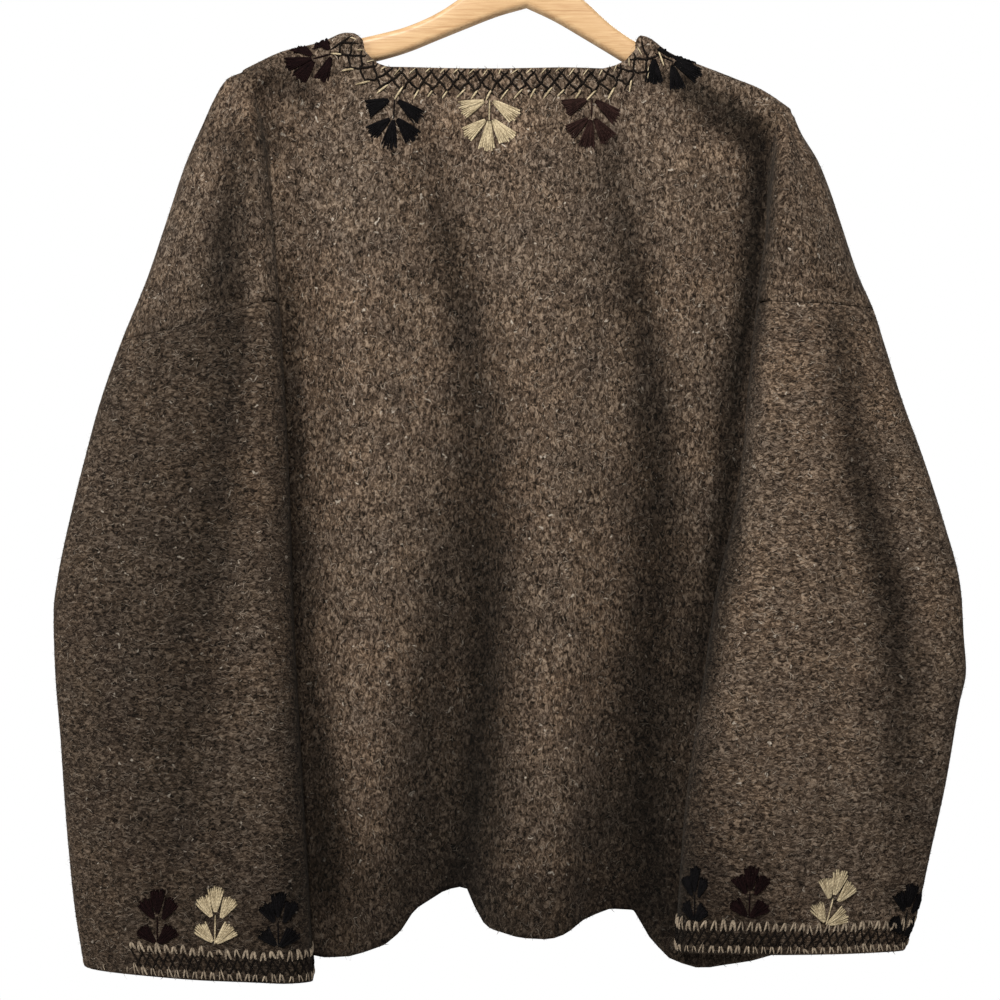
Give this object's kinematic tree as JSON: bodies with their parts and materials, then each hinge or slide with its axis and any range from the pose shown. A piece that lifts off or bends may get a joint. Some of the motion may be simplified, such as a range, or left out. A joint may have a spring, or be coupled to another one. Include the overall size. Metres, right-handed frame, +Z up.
{
  "type": "cardigan on a hanger",
  "caption": "Wide brown felted-wool cardigan with dropped shoulders, open front and wide sleeves, hanging from a wooden hanger with a steel hook.",
  "frame": {"origin": "inside top of the hanger's hook, where the rail bears", "axes": "+Z up along the hang line, +X towards the picture's right, +Y towards the cardigan's open front; its back faces -Y, the camera's side"},
  "size_m": [0.6763, 0.104, 0.8175],
  "materials": {
    "wool_back": "heathered felted wool",
    "wool_front": "heathered felted wool",
    "wool_sleeve": "heathered felted wool",
    "wood": "pale, satin",
    "steel": "plated wire",
    "yarn_cream": "embroidery wool",
    "yarn_dark": "embroidery wool"
  },
  "bodies": {
    "root": {"back": "wool_back", "front_left": "wool_front", "front_right": "wool_front", "sleeve_left": "wool_sleeve", "sleeve_right": "wool_sleeve", "hanger_bar": "wood", "hanger_hook": "steel"}
  },
  "joints": []
}
